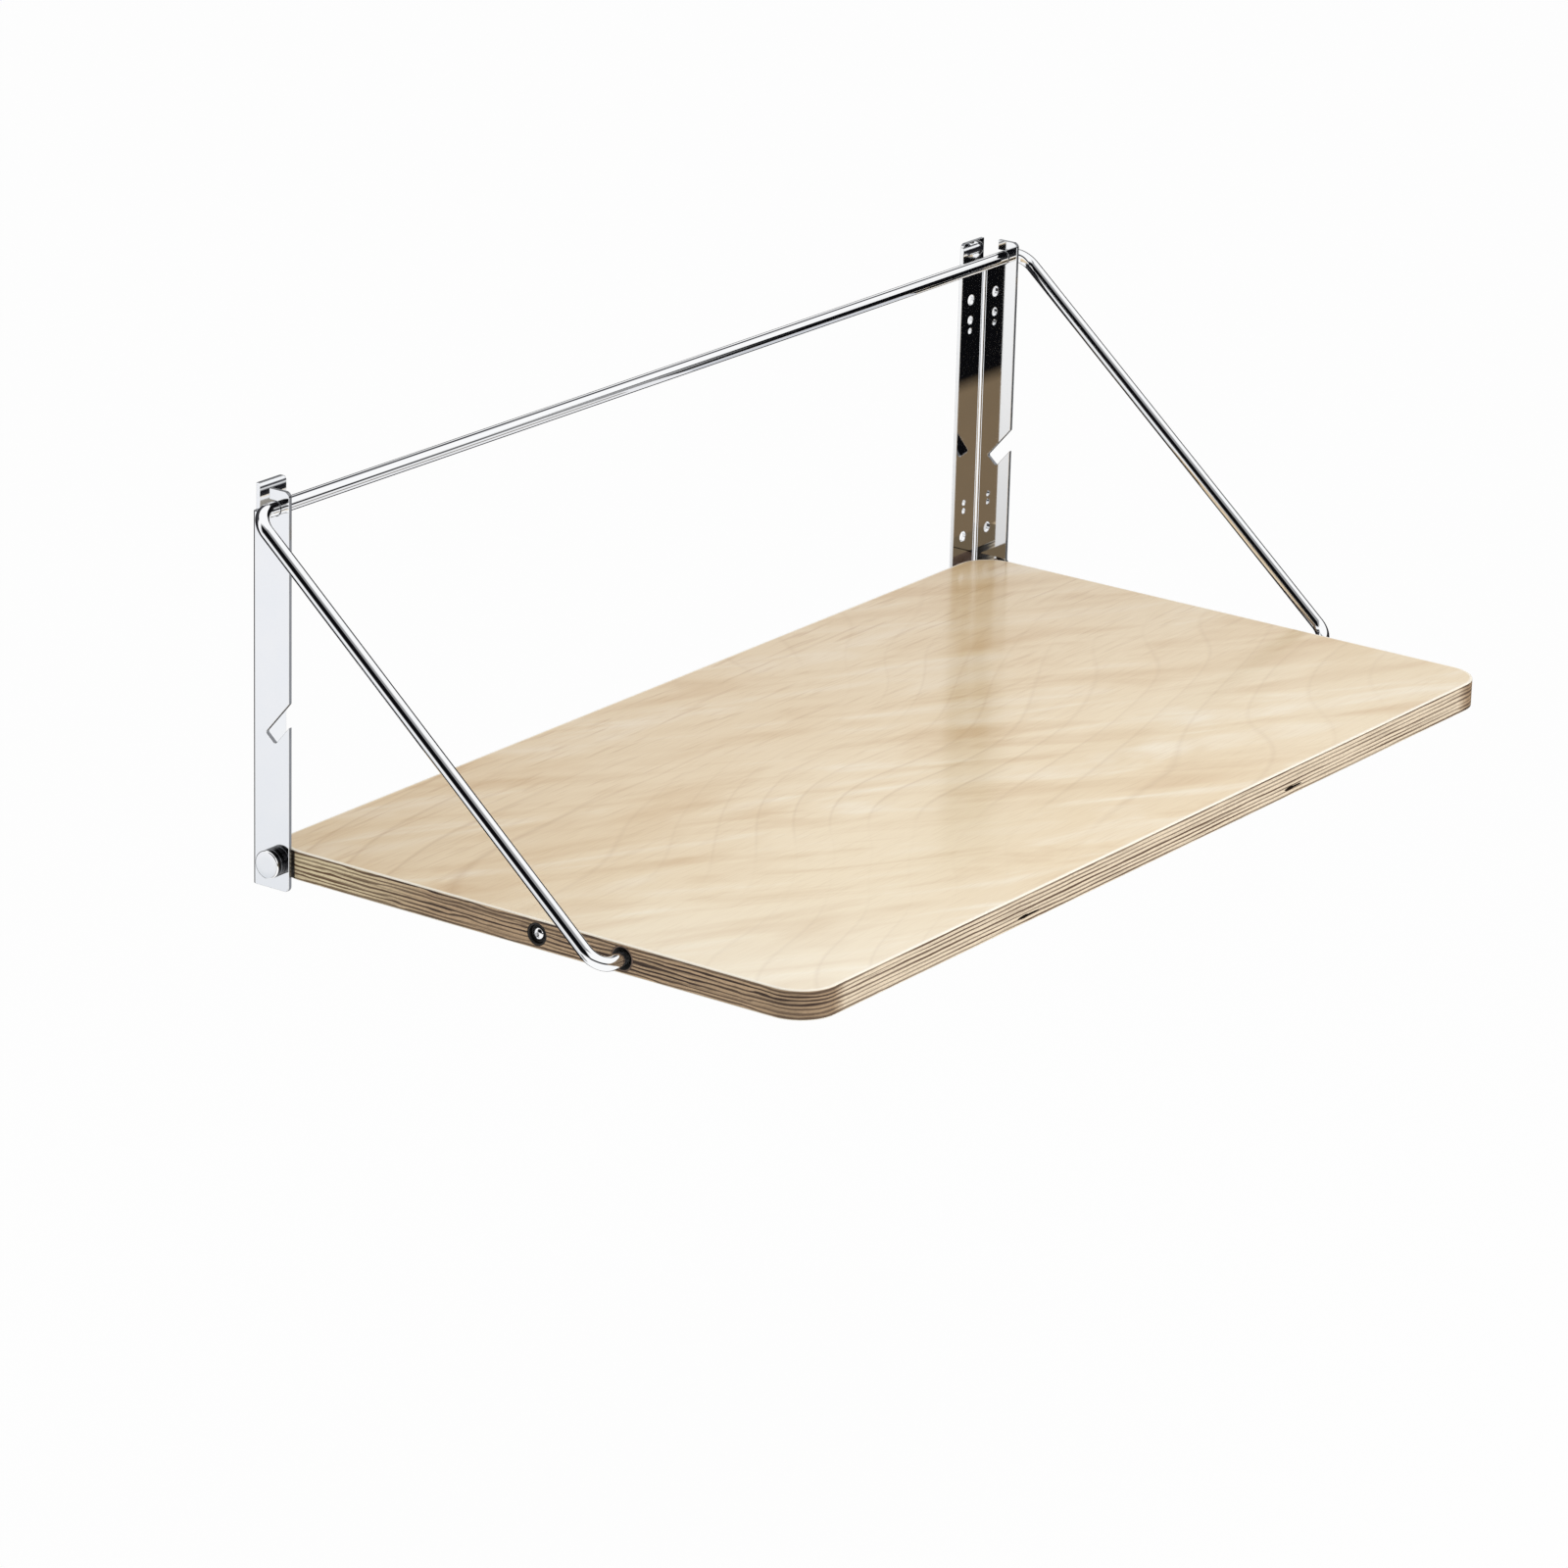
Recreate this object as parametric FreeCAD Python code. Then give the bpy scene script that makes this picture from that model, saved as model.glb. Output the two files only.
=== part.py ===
import FreeCAD, Part
import math
import os

# Wall mounted drop leaf table: a plywood leaf hinged between two angle brackets
# and propped by one bent rod. Millimetres. X runs along the wall, +Y points into
# the wall and +Z is up. The wall is the plane Y = 0, and the origin is the centre
# of the four wall screw holes. Right-hand pieces are built, left-hand ones mirrored.

# Leaf
board_width = 850.0
board_depth = 450.0
board_thickness = 21.0
board_corner_radius = 28.0
board_edge_break = 0.8
board_wall_gap = 10.0

# Angle brackets, folded from plate
plate_thickness = 3.0
side_flange_depth = 32.0
wall_flange_width = 32.0
fold_inner_radius = 1.5
bracket_drop = 30.0
bracket_corner_radius = 4.0
bracket_side_gap = 1.0

# Wall screw holes, heights above the leaf's top face
screw_hole_radius = 4.0
screw_hole_inset = 19.5
upper_screw_height = 205.0
lower_screw_height = 17.0

# Smaller holes in line with them, spaced from the screw holes
middle_hole_radius = 3.25
middle_hole_drop = 16.0
pilot_hole_radius = 2.25
upper_pilot_drop = 8.5
lower_pilot_rise = 20.5
lower_pilot_pitch = 6.5

# Bail: one rod bent into a rail, two arms and two inward tips
rod_diameter = 10.0
rod_bend_radius = 15.0
arm_offset = 21.0
rail_wall_distance = 20.0
rail_height = 238.0
socket_wall_distance = 310.0
tip_reach = 22.0

# Hook slots that hold the rail at the top of the brackets
rail_below_top = 13.0
rail_clearance = 0.4
hook_entry_depth = 15.0
hook_tab_radius = 2.0

# Notches that hold the rail when the leaf hangs down
notch_angle = 49.4
notch_corner_radius = 1.5

# Pivot bolts, their spacers and the threaded inserts in the leaf
pivot_wall_distance = 19.5
shoulder_diameter = 8.0
bolt_head_diameter = 20.0
bolt_head_height = 8.5
bolt_head_bevel = 1.0
bolt_thread_diameter = 6.0
bolt_thread_length = 18.0
spacer_diameter = 14.0
spacer_seat_depth = 14.0
insert_diameter = 12.0
insert_length = 22.0

# Bushes that carry the bail's tips
bush_collar_diameter = 18.0
bush_collar_thickness = 4.0
bush_mouth_diameter = 15.0
bush_mouth_depth = 3.0
bush_body_diameter = 15.0
bush_floor = 3.0

# Cup washers and screws behind the bushes
cup_wall_distance = 240.0
cup_diameter = 16.0
cup_depth = 5.0
cup_wall = 1.5
edge_screw_diameter = 4.0
edge_screw_length = 30.0
edge_screw_head_diameter = 8.5
edge_screw_head_height = 3.5
edge_screw_key = 4.0
edge_screw_key_depth = 2.0

# Clearances
running_clearance = 0.05
axial_clearance = 0.1
seat_clearance = 0.03

# How close two measured places have to be to count as one
tolerance = 1e-6

# Derived places
board_top = -(upper_screw_height + lower_screw_height) / 2
board_bottom = board_top - board_thickness
board_middle = board_top - board_thickness / 2
board_end = board_width / 2
board_back = -board_wall_gap
board_front = board_back - board_depth
plate_inner = board_end + bracket_side_gap
plate_outer = plate_inner + plate_thickness
bracket_bottom = board_top - bracket_drop
rod_radius = rod_diameter / 2
slot_radius = rod_radius + rail_clearance
arm_x = plate_outer + arm_offset
rail_y = -rail_wall_distance
rail_z = board_top + rail_height
bracket_top = rail_z + rail_below_top
socket_y = -socket_wall_distance
pivot_y = -pivot_wall_distance
cup_y = -cup_wall_distance

# The bail turns on the sockets. With the leaf hanging and the arms upright, its rail
# lies straight above the pivot, and that is where the notch is.
arm_length = math.hypot(rail_y - socket_y, rail_z - board_middle)
arm_angle = math.degrees(math.atan2(rail_z - board_middle, rail_y - socket_y))
parked_y = pivot_y
parked_z = board_middle - (pivot_y - socket_y) + arm_length

origin = FreeCAD.Vector(0, 0, 0)
along_x = FreeCAD.Vector(1, 0, 0)
along_y = FreeCAD.Vector(0, 1, 0)
along_z = FreeCAD.Vector(0, 0, 1)


def box_between(low, high):
    """A box from its low corner to its high corner."""
    size = [b - a for a, b in zip(low, high)]
    return Part.makeBox(*size, FreeCAD.Vector(*low))


def rod_along_x(radius, x_from, x_to, y, z):
    """A cylinder along X, given by its two ends."""
    low = min(x_from, x_to)
    return Part.makeCylinder(radius, abs(x_to - x_from), FreeCAD.Vector(low, y, z), along_x)


def cone_along_x(radius_from, radius_to, x_from, x_to, y, z):
    """A cone along +X that ends in the second radius."""
    start = FreeCAD.Vector(x_from, y, z)
    return Part.makeCone(radius_from, radius_to, x_to - x_from, start, along_x)


def edges_near(shape, direction, near):
    """The straight edges that run along one axis and whose middles pass a test."""
    chosen = []
    for edge in shape.Edges:
        if not isinstance(edge.Curve, Part.Line):
            continue
        run = edge.tangentAt(edge.FirstParameter)
        if abs(abs(run.dot(direction)) - 1) < tolerance and near(edge.CenterOfMass):
            chosen.append(edge)
    return chosen


def board():
    """The leaf, with rounded corners, eased faces and the bores in both ends."""
    low = (-board_end, board_front, board_bottom)
    high = (board_end, board_back, board_top)
    slab = box_between(low, high)
    slab = slab.makeFillet(board_corner_radius, edges_near(slab, along_z, lambda middle: True))
    slab = slab.makeFillet(board_edge_break, rim_edges(slab))
    for bore in pivot_bores() + bush_bores() + cup_bores():
        slab = slab.cut(bore)
        slab = slab.cut(mirrored(bore))
    return slab


def rim_edges(slab):
    """The edges around the leaf's top and bottom faces."""
    rims = []
    for edge in slab.Edges:
        height = abs(edge.CenterOfMass.z - board_middle)
        if height > board_thickness / 2 - tolerance:
            rims.append(edge)
    return rims


def pivot_bores():
    """Room in the leaf's end for the spacer, the insert and the bolt's tip."""
    seat = board_end - spacer_seat_depth
    spacer_room = spacer_diameter / 2 + seat_clearance
    insert_room = insert_diameter / 2 + seat_clearance
    return [
        rod_along_x(spacer_room, seat, plate_inner, pivot_y, board_middle),
        rod_along_x(insert_room, seat - insert_length, seat, pivot_y, board_middle),
    ]


def bush_bores():
    """The stepped bore that a bush sits in."""
    shoulder = board_end - bush_collar_thickness
    collar_room = bush_collar_diameter / 2 + seat_clearance
    body_room = bush_body_diameter / 2 + seat_clearance
    return [
        rod_along_x(collar_room, shoulder, plate_inner, socket_y, board_middle),
        rod_along_x(body_room, bush_inner_end(), shoulder, socket_y, board_middle),
    ]


def cup_bores():
    """The pocket for a cup washer and the pilot hole behind it."""
    floor = board_end - cup_depth
    pocket = cup_diameter / 2 + seat_clearance
    pilot = edge_screw_diameter / 2 + seat_clearance
    return [
        rod_along_x(pocket, floor, plate_inner, cup_y, board_middle),
        rod_along_x(pilot, floor + cup_wall - edge_screw_length, floor, cup_y, board_middle),
    ]


def bush_inner_end():
    """Where the closed end of a bush lies."""
    return board_end - tip_reach - axial_clearance - bush_floor


def folded_plate():
    """The bracket's L section, extruded to its full height."""
    wall_edge = plate_outer - wall_flange_width
    far_corner = (plate_outer, 0, bracket_top)
    side = box_between((plate_inner, -side_flange_depth, bracket_bottom), far_corner)
    wall = box_between((wall_edge, -plate_thickness, bracket_bottom), far_corner)
    plate = side.fuse(wall).removeSplitter()

    def at_inner_fold(middle):
        off = (middle.x - plate_inner, middle.y + plate_thickness)
        return math.hypot(*off) < tolerance

    def at_outer_fold(middle):
        return math.hypot(middle.x - plate_outer, middle.y) < tolerance

    plate = plate.makeFillet(fold_inner_radius, edges_near(plate, along_z, at_inner_fold))
    outer_radius = fold_inner_radius + plate_thickness
    return plate.makeFillet(outer_radius, edges_near(plate, along_z, at_outer_fold))


def rounded_corners(plate):
    """Rounds the free corners of both flanges."""

    def at_side_corner(middle):
        return abs(middle.y + side_flange_depth) < tolerance

    def at_wall_corner(middle):
        return abs(middle.x - plate_outer + wall_flange_width) < tolerance

    corners = edges_near(plate, along_x, at_side_corner)
    corners += edges_near(plate, along_y, at_wall_corner)
    return plate.makeFillet(bracket_corner_radius, corners)


def hook_slot():
    """The cut that the rail drops into behind a tab, and its seat under the tab."""
    inside = plate_inner - fold_inner_radius
    outside = plate_outer + plate_thickness
    floor = rail_z - slot_radius
    roof = rail_z + slot_radius
    above = bracket_top + plate_thickness
    entry = box_between((inside, -hook_entry_depth, floor), (outside, plate_thickness, above))
    under_tab = box_between((inside, rail_y, floor), (outside, -hook_entry_depth, roof))
    end = rod_along_x(slot_radius, inside, outside, rail_y, rail_z)
    return entry.fuse([under_tab, end]).removeSplitter()


def rounded_tab(plate):
    """Rounds the top corner of the tab beside the slot's mouth."""

    def at_tab(middle):
        off = (middle.y + hook_entry_depth, middle.z - bracket_top)
        return math.hypot(*off) < tolerance

    return plate.makeFillet(hook_tab_radius, edges_near(plate, along_x, at_tab))


def parking_notch():
    """A square-ended notch that runs down and back from the side flange's front edge."""
    inside = plate_inner - plate_thickness
    outside = plate_outer + plate_thickness
    low = (inside, -2 * side_flange_depth, -slot_radius)
    high = (outside, slot_radius, slot_radius)
    notch = box_between(low, high)

    def at_inner_end(middle):
        return abs(middle.y - slot_radius) < tolerance

    notch = notch.makeFillet(notch_corner_radius, edges_near(notch, along_x, at_inner_end))
    notch.rotate(origin, along_x, -notch_angle)
    notch.translate(FreeCAD.Vector(0, parked_y, parked_z))
    return notch


def wall_holes():
    """The holes in the wall flange, as cylinders through it."""
    upper_screw = board_top + upper_screw_height
    lower_screw = board_top + lower_screw_height
    middle_hole = upper_screw - middle_hole_drop
    lower_pilot = lower_screw + lower_pilot_rise
    sizes = {
        upper_screw: screw_hole_radius,
        lower_screw: screw_hole_radius,
        middle_hole: middle_hole_radius,
        middle_hole - upper_pilot_drop: pilot_hole_radius,
        lower_pilot: pilot_hole_radius,
        lower_pilot + lower_pilot_pitch: pilot_hole_radius,
    }
    line_x = plate_outer - screw_hole_inset
    holes = []
    for height, radius in sizes.items():
        start = FreeCAD.Vector(line_x, -2 * plate_thickness, height)
        holes.append(Part.makeCylinder(radius, 2 * plate_thickness, start, along_y))
    return holes


def bracket():
    """One angle bracket with its slot, notch, wall holes and pivot hole."""
    plate = rounded_corners(folded_plate())
    plate = rounded_tab(plate.cut(hook_slot()))
    plate = plate.cut(parking_notch())
    for hole in wall_holes():
        plate = plate.cut(hole)
    pivot_room = shoulder_diameter / 2 + running_clearance
    return plate.cut(rod_along_x(pivot_room, board_end, arm_x, pivot_y, board_middle))


def bail_path():
    """The rod's centre line: straight runs joined by tangent quarter circles."""
    tip_x = board_end - tip_reach
    corners = [
        FreeCAD.Vector(tip_x, socket_y, board_middle),
        FreeCAD.Vector(arm_x, socket_y, board_middle),
        FreeCAD.Vector(arm_x, rail_y, rail_z),
        FreeCAD.Vector(-arm_x, rail_y, rail_z),
        FreeCAD.Vector(-arm_x, socket_y, board_middle),
        FreeCAD.Vector(-tip_x, socket_y, board_middle),
    ]
    edges = []
    start = corners[0]
    for before, corner, after in zip(corners, corners[1:], corners[2:]):
        back = (before - corner).normalize()
        ahead = (after - corner).normalize()
        arc_start = corner + back * rod_bend_radius
        arc_end = corner + ahead * rod_bend_radius
        centre = arc_start + ahead * rod_bend_radius
        arc_middle = centre + (corner - centre).normalize() * rod_bend_radius
        edges.append(Part.LineSegment(start, arc_start).toShape())
        edges.append(Part.Arc(arc_start, arc_middle, arc_end).toShape())
        start = arc_end
    edges.append(Part.LineSegment(start, corners[-1]).toShape())
    return Part.Wire(edges)


def bail():
    """The rod swept along its centre line."""
    path = bail_path()
    start = FreeCAD.Vector(board_end - tip_reach, socket_y, board_middle)
    section = Part.Wire([Part.makeCircle(rod_radius, start, along_x)])
    return path.makePipeShell([section], True, False)


def pivot_bolt():
    """A plain round head, a shoulder that the bracket turns on, and a thread."""
    head_start = plate_outer + axial_clearance
    head_end = head_start + bolt_head_height
    bevel_start = head_end - bolt_head_bevel
    head_radius = bolt_head_diameter / 2
    face_radius = head_radius - bolt_head_bevel
    shoulder_end = board_end - spacer_seat_depth
    head = rod_along_x(head_radius, head_start, bevel_start, pivot_y, board_middle)
    bevel = cone_along_x(head_radius, face_radius, bevel_start, head_end, pivot_y, board_middle)
    shoulder = rod_along_x(shoulder_diameter / 2, shoulder_end, head_start, pivot_y, board_middle)
    thread_end = shoulder_end - bolt_thread_length
    thread = rod_along_x(bolt_thread_diameter / 2, thread_end, shoulder_end, pivot_y, board_middle)
    return head.fuse([bevel, shoulder, thread]).removeSplitter()


def pivot_spacer():
    """The sleeve that keeps the leaf clear of the bracket at its rounded corner."""
    seat = board_end - spacer_seat_depth
    face = plate_inner - axial_clearance
    bore_radius = shoulder_diameter / 2 + seat_clearance
    sleeve = rod_along_x(spacer_diameter / 2, seat, face, pivot_y, board_middle)
    bore = rod_along_x(bore_radius, seat, face, pivot_y, board_middle)
    return sleeve.cut(bore)


def pivot_insert():
    """The threaded insert that the pivot bolt screws into."""
    face = board_end - spacer_seat_depth
    back = face - insert_length
    bore_radius = bolt_thread_diameter / 2 + seat_clearance
    barrel = rod_along_x(insert_diameter / 2, back, face, pivot_y, board_middle)
    bore = rod_along_x(bore_radius, back, face, pivot_y, board_middle)
    return barrel.cut(bore)


def bail_bush():
    """A blind bush with a collar and a flared mouth."""
    face = board_end - axial_clearance
    shoulder = board_end - bush_collar_thickness
    inner_end = bush_inner_end()
    collar = rod_along_x(bush_collar_diameter / 2, shoulder, face, socket_y, board_middle)
    body = rod_along_x(bush_body_diameter / 2, inner_end, shoulder, socket_y, board_middle)
    bore_radius = rod_radius + running_clearance
    bore = rod_along_x(bore_radius, inner_end + bush_floor, face, socket_y, board_middle)
    mouth_start = face - bush_mouth_depth
    mouth = cone_along_x(bore_radius, bush_mouth_diameter / 2, mouth_start, face, socket_y, board_middle)
    return collar.fuse(body).cut(bore.fuse(mouth)).removeSplitter()


def edge_cup():
    """A cup washer let into the leaf's end."""
    floor = board_end - cup_depth
    face = board_end - axial_clearance
    cup = rod_along_x(cup_diameter / 2, floor, face, cup_y, board_middle)
    hollow = rod_along_x(cup_diameter / 2 - cup_wall, floor + cup_wall, face, cup_y, board_middle)
    hole_radius = edge_screw_diameter / 2 + seat_clearance
    hole = rod_along_x(hole_radius, floor, face, cup_y, board_middle)
    return cup.cut(hollow).cut(hole)


def edge_screw():
    """A round-headed socket screw that holds the cup washer."""
    seat = board_end - cup_depth + cup_wall
    top = seat + edge_screw_head_height
    tip = seat - edge_screw_length
    head = rod_along_x(edge_screw_head_diameter / 2, seat, top, cup_y, board_middle)
    rim = [edge for edge in head.Edges if abs(edge.CenterOfMass.x - top) < tolerance]
    head = head.makeFillet(edge_screw_head_height / 2, rim)
    shank = rod_along_x(edge_screw_diameter / 2, tip, seat, cup_y, board_middle)
    return head.fuse(shank).removeSplitter().cut(key_socket(top))


def key_socket(top):
    """The hexagonal recess in a screw head, from its width across flats."""
    sides = 6
    corner_radius = edge_screw_key / 2 / math.cos(math.pi / sides)
    corners = []
    for step in range(sides + 1):
        turn = 2 * math.pi * step / sides
        y = cup_y + corner_radius * math.cos(turn)
        z = board_middle + corner_radius * math.sin(turn)
        corners.append(FreeCAD.Vector(top - edge_screw_key_depth, y, z))
    face = Part.Face(Part.makePolygon(corners))
    return face.extrude(along_x * (2 * edge_screw_key_depth))


def mirrored(shape):
    """The left-hand copy of a right-hand shape."""
    return shape.mirror(origin, along_x)


def pieces():
    """Every sub-part, by node name."""
    found = {"table_board": board(), "bail": bail()}
    sided = {
        "bracket": bracket,
        "pivot_bolt": pivot_bolt,
        "pivot_spacer": pivot_spacer,
        "pivot_insert": pivot_insert,
        "bail_bush": bail_bush,
        "edge_cup": edge_cup,
        "edge_screw": edge_screw,
    }
    for name, make in sided.items():
        right = make()
        found["right_" + name] = right
        found["left_" + name] = mirrored(right)
    return found


os.makedirs("parts", exist_ok=True)
for node, shape in pieces().items():
    if len(shape.Solids) != 1 or not shape.isValid():
        raise ValueError(node + " is not one valid solid")
    shape.Solids[0].exportStep("parts/" + node + ".step")
    print(node, round(shape.Volume / 1000, 2), "cm3")
print("arm length", round(arm_length, 3), "arm angle", round(arm_angle, 4))
print("bail turns per leaf turn", round(-arm_angle / 90, 6))
print("parked rail at", round(parked_y, 2), round(parked_z, 2))
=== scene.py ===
import math

import bmesh
import bpy
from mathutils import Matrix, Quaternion, Vector


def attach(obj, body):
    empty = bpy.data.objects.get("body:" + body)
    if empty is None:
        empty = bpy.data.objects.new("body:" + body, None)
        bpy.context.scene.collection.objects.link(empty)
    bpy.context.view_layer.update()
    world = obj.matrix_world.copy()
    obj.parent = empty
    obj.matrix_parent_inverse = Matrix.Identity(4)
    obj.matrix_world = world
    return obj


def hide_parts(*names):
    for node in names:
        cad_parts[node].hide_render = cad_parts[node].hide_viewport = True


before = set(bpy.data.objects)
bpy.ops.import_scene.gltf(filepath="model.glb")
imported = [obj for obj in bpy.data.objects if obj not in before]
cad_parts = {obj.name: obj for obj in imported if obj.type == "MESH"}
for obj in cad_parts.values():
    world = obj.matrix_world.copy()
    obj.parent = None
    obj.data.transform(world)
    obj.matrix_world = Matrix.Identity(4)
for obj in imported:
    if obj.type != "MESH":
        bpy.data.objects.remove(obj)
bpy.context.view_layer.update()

# All sizes are in metres

# The leaf
LEAF_WIDTH = 0.850
LEAF_DEPTH = 0.450
LEAF_THICKNESS = 0.021
LEAF_TOP = -0.111
LEAF_BACK = -0.010
LEAF_CORNER = 0.028
LEAF_EASE = 0.0008
LEAF_END = LEAF_WIDTH / 2
LEAF_MIDDLE = LEAF_TOP - LEAF_THICKNESS / 2
LEAF_FRONT = LEAF_BACK - LEAF_DEPTH
FACE_PLY = 0.0007
PLY_PAIR = (LEAF_THICKNESS - 2 * FACE_PLY) / 6.5
GAP_DEPTH = 0.003
# place along X and Z, length and height of each gap between plies
PLY_GAPS = ((-0.175, -0.1268, 0.026, 0.0028), (0.158, -0.1262, 0.023, 0.0028))

# The brackets
PLATE = 0.003
FLANGE = 0.032
PLATE_INNER = LEAF_END + 0.001
PLATE_OUTER = PLATE_INNER + PLATE
FOLD_INNER = 0.0015
FOLD_OUTER = FOLD_INNER + PLATE
BRACKET_TOP = 0.140
BRACKET_BOTTOM = -0.141
BRACKET_CORNER = 0.004
SCREW_LINE = PLATE_OUTER - 0.0195
# height and radius of each hole
WALL_HOLES = (
    (0.094, 0.004),
    (-0.094, 0.004),
    (0.078, 0.00325),
    (0.0695, 0.00225),
    (-0.0735, 0.00225),
    (-0.067, 0.00225),
)
PLATE_EASE = 0.00035
HOOK_ENTRY = 0.015
SLOT_RADIUS = 0.0054

# The bail and what it turns in
ROD = 0.005
ROD_BEND = 0.015
ARM_X = PLATE_OUTER + 0.021
RAIL = Vector((0, -0.020, 0.127))
SOCKET = Vector((0, -0.310, LEAF_MIDDLE))
TIP_X = LEAF_END - 0.022
PIVOT = Vector((0, -0.0195, LEAF_MIDDLE))
CUP = Vector((0, -0.240, LEAF_MIDDLE))

# The notch for the rail, round the place where it lies when the leaf hangs
NOTCH_Y = PIVOT.y
NOTCH_Z = -0.03009
NOTCH_TURN = math.radians(49.4)
NOTCH_ROUND = 0.0015

# What the leaf's right-hand end holds: radii, and places along X
SPACER, INSERT = 0.007, 0.006
INSERT_FACE, INSERT_END = 0.411, 0.389
SHOULDER, PIVOT_HOLE = 0.004, 0.00405
BOLT_THREAD, BOLT_ROOT = 0.003, 0.00272
HEAD_BASE, HEAD_GROOVE, HEAD_ROUND = 0.4291, 0.4330, 0.4366
BUSH, BUSH_COLLAR, BUSH_RIB_ROOT = 0.0075, 0.009, 0.0072
BUSH_BORE, BUSH_MOUTH = 0.00505, 0.0079
BUSH_STEP, BUSH_FLOOR, BUSH_END = 0.421, 0.4029, 0.3999
CUP_RADIUS, CUP_INSIDE, CUP_HOLE = 0.008, 0.0065, 0.0024
CUP_BACK, CUP_FACE = 0.420, 0.4215
SCREW, SCREW_ROOT, SCREW_HEAD, SCREW_KEY = 0.002, 0.0017, 0.0047, 0.0021
SCREW_END, SCREW_DOME = 0.3915, 0.4222
# how much wider a room is than what it holds
ROOM = 0.00003

# The camera: its place, its turns in degrees and its lens in millimetres
CAMERA_PLACE = (-3.6733, -2.7517, 1.4274)
CAMERA_TURN, CAMERA_DOWN, CAMERA_ROLL = -54.51, 19.34, 1.52
CAMERA_LENS = 153.7

SIDES = 64
ROD_SIDES = 48
MERGE = 1e-6
NEAR = 1e-5


# ---------------------------------------------------------------- modelling

def deselect():
    bpy.ops.object.select_all(action="DESELECT")


def pick(piece):
    """Selects one piece, and nothing else."""
    deselect()
    piece.select_set(True)
    bpy.context.view_layer.objects.active = piece


def begin(name):
    """The primitive just added, named, with its place in its mesh, opened for editing."""
    piece = bpy.context.object
    piece.name = piece.data.name = name
    bpy.ops.object.transform_apply(location=True, rotation=True, scale=True)
    bpy.ops.object.mode_set(mode="EDIT")
    return piece


def block(name, low, high):
    """A box between two corners, opened for editing."""
    low, high = Vector(low), Vector(high)
    deselect()
    bpy.ops.mesh.primitive_cube_add(size=1, location=(low + high) / 2, scale=high - low)
    return begin(name)


def disc(name, radius, centre, sides=SIDES):
    """A round face across X, opened for editing, with all of it selected."""
    deselect()
    turn = (0, math.pi / 2, 0)
    bpy.ops.mesh.primitive_circle_add(
        vertices=sides, radius=radius, fill_type="NGON", location=centre, rotation=turn
    )
    return begin(name)


def choose(kind, test):
    """Selects the vertices, edges or faces that pass a test, and nothing else."""
    bpy.ops.mesh.select_all(action="DESELECT")
    bpy.ops.mesh.select_mode(type=kind)
    mesh = bmesh.from_edit_mesh(bpy.context.object.data)
    items = {"VERT": mesh.verts, "EDGE": mesh.edges, "FACE": mesh.faces}[kind]
    for item in items:
        item.select_set(test(item))
    bmesh.update_edit_mesh(bpy.context.object.data)


def middle(edge):
    return (edge.verts[0].co + edge.verts[1].co) / 2


def along(edge, axis):
    """Whether an edge runs along one axis."""
    run = (edge.verts[1].co - edge.verts[0].co).normalized()
    return abs(run[axis]) > 1 - NEAR


def bevel(width, segments):
    bpy.ops.mesh.bevel(offset=width, segments=segments, affect="EDGES", clamp_overlap=True)


def extrude(shift):
    bpy.ops.mesh.extrude_region_move(TRANSFORM_OT_translate={"value": shift})


def close_up(piece):
    """Merges doubles, points the faces outwards and leaves edit mode."""
    bpy.ops.mesh.select_all(action="SELECT")
    bpy.ops.mesh.remove_doubles(threshold=MERGE)
    bpy.ops.mesh.normals_make_consistent(inside=False)
    bpy.ops.object.mode_set(mode="OBJECT")
    return piece


def turned(name, centre, stations, sides=SIDES):
    """A piece turned about a line along X, from pairs of place along X and radius."""
    x, radius = stations[0]
    piece = disc(name, radius, (x, centre.y, centre.z), sides)
    for next_x, next_radius in stations[1:]:
        extrude((next_x - x, 0, 0))
        grow, hub = next_radius / radius, (next_x, centre.y, centre.z)
        bpy.ops.transform.resize(value=(1, grow, grow), center_override=hub)
        x, radius = next_x, next_radius
    return close_up(piece)


def rings(start, pitch, count, profile):
    """The stations of one ring, given from its own start, repeated along X."""
    starts = [start + ring * pitch for ring in range(count)]
    return [(x + shift, radius) for x in starts for shift, radius in profile]


def settle(piece, kind, name, **settings):
    """Adds a modifier and applies it."""
    pick(piece)
    modifier = piece.modifiers.new(name, kind)
    for key, value in settings.items():
        setattr(modifier, key, value)
    bpy.ops.object.modifier_apply(modifier=modifier.name)


def carve(piece, *cutters):
    """Cuts each cutter out of a piece and throws it away."""
    for cutter in cutters:
        settle(piece, "BOOLEAN", "cut", operation="DIFFERENCE", solver="EXACT", object=cutter)
        bpy.data.objects.remove(cutter)


def ease(piece, width, segments=3, angle=40):
    """Rounds the sharp edges and smooths the rest."""
    settle(
        piece,
        "BEVEL",
        "ease",
        width=width,
        segments=segments,
        limit_method="ANGLE",
        angle_limit=math.radians(angle),
        use_clamp_overlap=True,
    )
    smooth(piece)


def smooth(piece, angle=40):
    """Smooth shading between gentle edges, with the flat faces kept truly flat."""
    pick(piece)
    bpy.ops.object.shade_smooth_by_angle(angle=math.radians(angle))
    settle(piece, "WEIGHTED_NORMAL", "flats", mode="FACE_AREA", weight=100, keep_sharp=True)


def other_hand(piece, name):
    """The left-hand copy of a right-hand piece, with its own mesh."""
    copy = piece.copy()
    copy.data = piece.data.copy()
    copy.name = copy.data.name = name
    bpy.context.scene.collection.objects.link(copy)
    pick(copy)
    copy.scale.x = -1
    bpy.ops.object.transform_apply(location=False, rotation=False, scale=True)
    bpy.ops.object.mode_set(mode="EDIT")
    close_up(copy)
    smooth(copy)
    return copy


# ---------------------------------------------------------------- the leaf

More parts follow.
